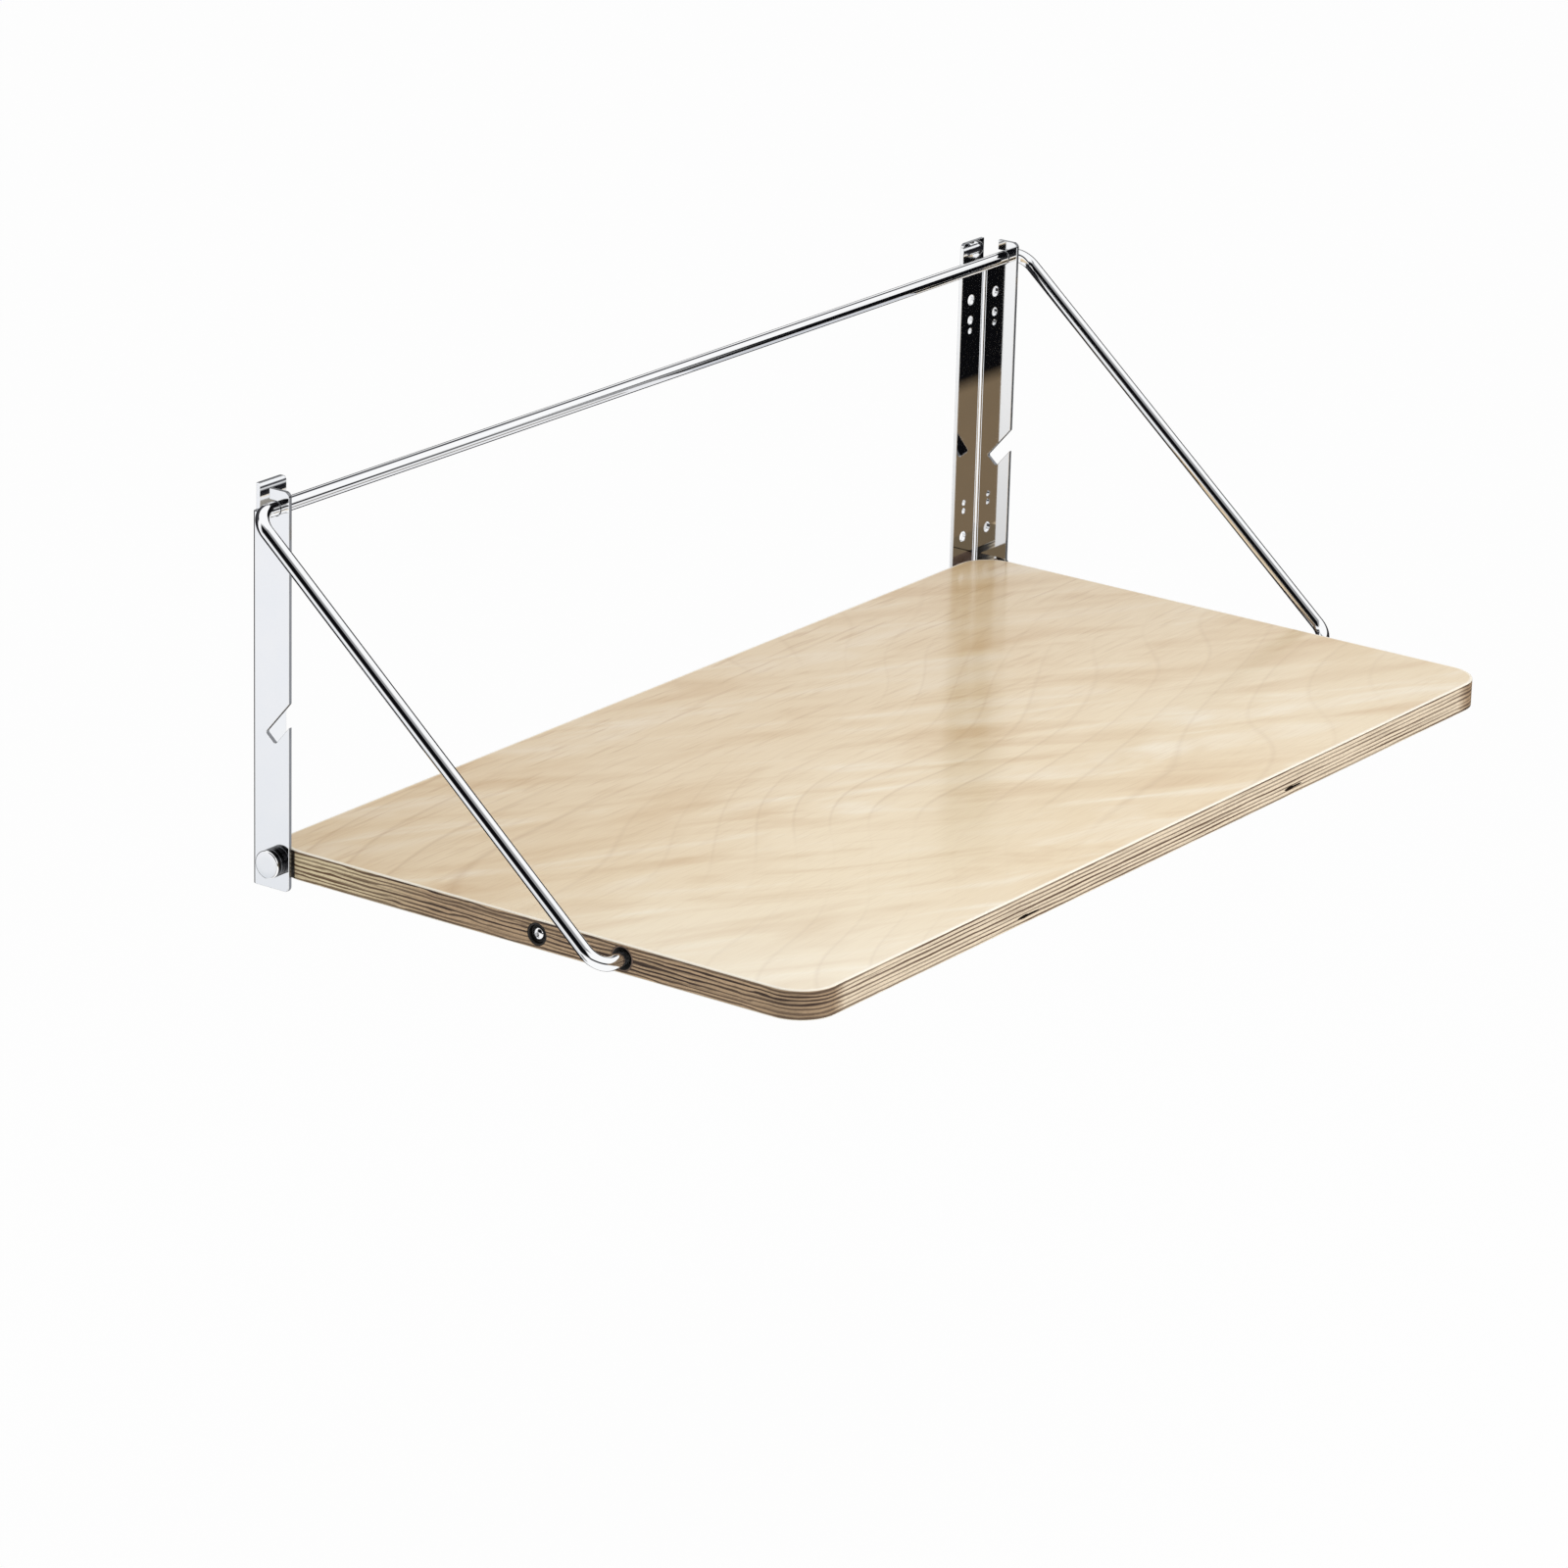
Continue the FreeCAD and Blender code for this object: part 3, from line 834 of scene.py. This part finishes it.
def dress_leaf(panel):
    """Veneer on the two faces, pale sanded rims round them with a painted highlight, plies
    between, painted shade in the gaps.
    """
    for finish in (birch_face(), ply_edge(), birch_rim(), ply_shadow()):
        panel.data.materials.append(finish)
    face, edge, rim, shadow = range(4)
    reach = LEAF_THICKNESS / 2
    for polygon in panel.data.polygons:
        centre, up = polygon.center, abs(polygon.normal.z)
        high = abs(centre.z - LEAF_MIDDLE)
        polygon.material_index = edge
        if up > 0.95 and high > reach - NEAR:
            polygon.material_index = face
        elif up > 0.1 and high > reach - LEAF_EASE:
            polygon.material_index = rim
        inward = centre.y - LEAF_FRONT
        for x, z, length, height in PLY_GAPS:
            beside = abs(centre.x - x) < length / 2 and abs(centre.z - z) < height
            if beside and 0.0002 < inward < GAP_DEPTH:
                polygon.material_index = shadow


def dress_plate(plate, face, edge):
    """Buffed chrome on the plate, and the plainer finish on the side flange's cut edges."""
    dress(plate, face)
    plate.data.materials.append(edge)
    for polygon in plate.data.polygons:
        centre, normal = polygon.center, polygon.normal
        side = abs(normal.x) < 0.5 and centre.y < -2 * PLATE
        tip = abs(normal.z) > 0.5 and not BRACKET_BOTTOM + 0.01 < centre.z < BRACKET_TOP - 0.025
        polygon.material_index = 1 if side or tip else 0


def dress_bolt(bolt, face, side):
    """Chrome on the faced head and the shank, a painted dark reflection round the head's side."""
    dress(bolt, face)
    bolt.data.materials.append(side)
    for polygon in bolt.data.polygons:
        around = abs(polygon.normal.x) < 0.8 and HEAD_BASE < abs(polygon.center.x) < HEAD_ROUND
        polygon.material_index = 1 if around else 0


# ---------------------------------------------------------------- the object

plate_chrome = chrome("plate_chrome", 0.045, (300, 300, 12))
rod_chrome = chrome("rod_chrome", 0.03, (60, 60, 60))
bolt_chrome = turned_chrome()
bush_nylon = moulded_nylon("bush_nylon", SOCKET, BUSH_MOUTH)
cup_nylon = moulded_nylon("cup_nylon", CUP, 0.0120)
zinc = zinc_plate()
sheared = cut_edge()
# the bolt head's side: painted dark reflection
painted_side_reflection = painted_dark_reflection()

panel = leaf()
dress_leaf(panel)
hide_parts("table_board")
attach(panel, "leaf")

rod = bail_rod()
dress(rod, rod_chrome)
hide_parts("bail")
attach(rod, "bail")

for make, node, body, finish, slot in (
    (angle_plate, "bracket", "brackets", plate_chrome, "plate_chrome"),
    (pivot_bolt, "pivot_bolt", "leaf", bolt_chrome, "bolt_chrome"),
    (bail_bush, "bail_bush", "leaf", bush_nylon, "dark_plastic"),
    (edge_cup, "edge_cup", "leaf", cup_nylon, "dark_plastic"),
    (edge_screw, "edge_screw", "leaf", bolt_chrome, "bolt_chrome"),
):
    right = make()
    left = other_hand(right, right.name.replace("right_", "left_"))
    for piece, hand in ((right, "right_"), (left, "left_")):
        if node == "bracket":
            dress_plate(piece, finish, sheared)
        elif node == "pivot_bolt":
            dress_bolt(piece, finish, painted_side_reflection)
        else:
            dress(piece, finish)
        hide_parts(hand + node)
        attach(piece, body)

for hand in ("left_", "right_"):
    for node, finish in (("pivot_spacer", cup_nylon), ("pivot_insert", zinc)):
        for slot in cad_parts[hand + node].material_slots:
            slot.material = finish


# ---------------------------------------------------------------- the studio

def floor():
    """A pale round floor, as far below the leaf as the table hangs above the ground."""
    deselect()
    table_height = 0.74
    place = (0, -0.2, LEAF_TOP - table_height)
    bpy.ops.mesh.primitive_circle_add(vertices=96, radius=7, fill_type="NGON", location=place)
    ground = begin("studio_floor")
    bpy.ops.mesh.inset(thickness=0.5)
    bpy.ops.object.mode_set(mode="OBJECT")
    f = Finish("studio_floor")
    speck = f.noise(f.place, 30.0, 3.0)
    f.set(Base_Color=f.blend(speck, paint(246, 246, 246), paint(252, 252, 252)), Roughness=0.9)
    seen = f.put("LightPath").outputs["Is Camera Ray"]
    f.show(f.sum("MULTIPLY", seen, 0.96), f.shader.outputs[0], f.glow(WHITE))
    dress(ground, f.material)
    ground.visible_glossy = False


def card(name, place, size, tilt, tones, split=0.0, swing=0):
    """A glowing card close to the chrome, in one tone, or in two tones below and above a height,
    that paints a reflection into the metal. It is tilted about X and swung about Z, in degrees.
    Only metal sees it, and only from behind, so that it casts and hides nothing."""
    deselect()
    turn = (math.radians(tilt), 0, math.radians(swing))
    bpy.ops.mesh.primitive_plane_add(size=1, location=place, rotation=turn)
    bpy.context.object.scale = (size[0], size[1], 1)
    board = begin(name)
    bpy.ops.object.mode_set(mode="OBJECT")
    f = Finish(name)
    soft = 0.006
    upper = f.span(f.axes()[2], split - soft, split + soft)
    tone = f.blend(upper, paint(*tones[0]), paint(*tones[-1]))
    clear = f.put("BsdfTransparent").outputs[0]
    behind = f.put("NewGeometry").outputs["Backfacing"]
    f.show(behind, clear, f.glow(tone))
    dress(board, f.material)
    for way in ("camera", "diffuse", "shadow", "transmission", "volume_scatter"):
        setattr(board, "visible_" + way, False)


def placed(name, data, place):
    """A new object in the scene."""
    holder = bpy.data.objects.new(name, data)
    bpy.context.scene.collection.objects.link(holder)
    holder.location = place
    return holder


def lamp(name, place, aim, width, power):
    """A soft square lamp that metal doesn't mirror."""
    light = bpy.data.lights.new(name, "AREA")
    light.size = width
    light.energy = power
    holder = placed(name, light, place)
    holder.rotation_euler = (Vector(place) - Vector(aim)).to_track_quat("Z", "Y").to_euler()
    holder.visible_glossy = False


# What the chrome mirrors: cards round the table, as (span round in degrees from the front,
# right positive; span up in degrees; soft edge round and up in degrees; colour)
CARDS = (
    ((-140, -127), (-40, 10), (1.5, 4), (241, 242, 245)),
    ((-125.5, -108), (-50, -18), (1.5, 4.5), (112, 107, 100)),
    ((-142, -127), (-60, -21), (1.5, 3), (214, 219, 224)),
    ((-122, -50), (-3, 49), (7, 7), (10, 10, 13)),
    ((-62, 51.6), (-9, 9), (5, 3), (20, 20, 23)),
    ((-100, 2), (49, 61), (14, 5), (136, 136, 138)),
    ((66, 208), (-27, 9), (4, 3), (28, 28, 32)),
    ((96, 210), (-50, -24), (5, 4), (34, 33, 35)),
    ((64, 108), (8, 27), (4, 3), (28, 28, 32)),
    ((60, 100), (-35, -24), (3, 3), (30, 29, 31)),
    ((98, 128), (28, 44), (4, 4), (70, 70, 74)),
    ((130, 208), (5, 44), (6, 4), (60, 60, 64)),
    ((51.1, 61), (-24, 15), (0.3, 0.4), (10, 10, 13)),
)


def surroundings():
    """White to the camera, plain light on dull surfaces, and dark and pale cards round a
    white studio for the chrome and the lacquer to mirror."""
    world = bpy.data.worlds.new("studio")
    bpy.context.scene.world = world
    w = Nodes(world, "Generated")

    def rise(value, half_way, soft):
        low, high = half_way - soft, half_way + soft
        return w.span(value, low, high, interpolation_type="SMOOTHSTEP")

    def within(value, low, high, soft):
        return w.sum("MULTIPLY", rise(value, low, soft), rise(value, high, -soft))

    x, y, z = w.axes()
    degrees = math.degrees(1)
    turn = w.sum("MULTIPLY", w.sum("ARCTAN2", x, w.sum("MULTIPLY", y, -1.0)), degrees)
    # the count round starts at the back left, where no card stands across it
    seam = 145.0
    turn = w.sum("SUBTRACT", w.sum("FLOORED_MODULO", w.sum("ADD", turn, seam), 360.0), seam)
    up = w.sum("MULTIPLY", w.sum("ARCSINE", z), degrees)
    colour = WHITE
    for across, height, soft, tone in CARDS:
        share = w.sum("MULTIPLY", within(turn, *across, soft[0]), within(up, *height, soft[1]))
        colour = w.blend(share, colour, paint(*tone))
    ray = w.put("LightPath").outputs
    plain = (0.62, 0.62, 0.62, 1.0)
    seen = w.blend(ray["Is Glossy Ray"], plain, colour)
    seen = w.blend(ray["Is Transmission Ray"], seen, WHITE)
    seen = w.blend(ray["Is Camera Ray"], seen, WHITE)
    w.fill(w.tree.nodes["Background"].inputs["Color"], seen)


def camera():
    """The camera, turned and placed by its fit to the leaf's and brackets' edges."""
    data = bpy.data.cameras.new("view")
    data.lens = CAMERA_LENS
    data.sensor_width = 36.0
    data.clip_end = 50
    holder = placed("view", data, CAMERA_PLACE)
    turn = Quaternion((0, 0, 1), math.radians(CAMERA_TURN))
    tilt = Quaternion((1, 0, 0), math.radians(90 - CAMERA_DOWN))
    roll = Quaternion((0, 0, 1), math.radians(CAMERA_ROLL))
    holder.rotation_mode = "QUATERNION"
    holder.rotation_quaternion = turn @ tilt @ roll
    bpy.context.scene.camera = holder


floor()

# before the flanges, for what they mirror in each other: painted reflections, brown below and
# black above on the right, white on the left
upright, level = 90, 180
before = -FLANGE - 0.004
brown_black = ((122, 104, 81), (10, 10, 12))
white = ((244, 245, 247), (250, 250, 252))
card("dark_card", (0.377, before, -0.0095), (0.074, 0.251), upright, brown_black, split=0.011)
card("pale_card", (-0.379, before, -0.0275), (0.097, 0.265), upright, white)

# through the line that the right-hand fold is curved round: a white card that paints a highlight
# along the fold
fold_line = (PLATE_OUTER - FOLD_OUTER + 0.00006, -FOLD_OUTER - 0.00006, 0)
card("fold_card", fold_line, (0.0019, 0.270), upright, ((252, 252, 253),), swing=-45)

# just above the leaf, for the foot of the right-hand bracket: a painted reflection of the leaf,
# darker than it
foot = (0.3900, -0.0430, LEAF_TOP + 0.0006)
card("low_card", foot, (0.070, 0.070), level, ((108, 94, 74),))

# below the rail, for its underside: painted reflections, pale with a grey line
card("left_rail_card", (-0.175, -0.0535, 0.105), (0.450, 0.063), level, ((238, 238, 240),))
card("right_rail_card", (0.190, -0.0350, 0.105), (0.280, 0.026), level, ((208, 210, 215),))
card("rail_line", (-0.210, -0.0440, 0.1056), (0.380, 0.012), level, ((146, 142, 134),))

surroundings()
lamp("key", (-0.1, -0.8, 1.1), aim=(0, -0.25, -0.1), width=1.0, power=8.0)
lamp("front", (0.3, -2.5, 0.3), aim=(0, -0.45, -0.12), width=1.2, power=11)
camera()
bpy.context.scene.view_settings.view_transform = "Standard"
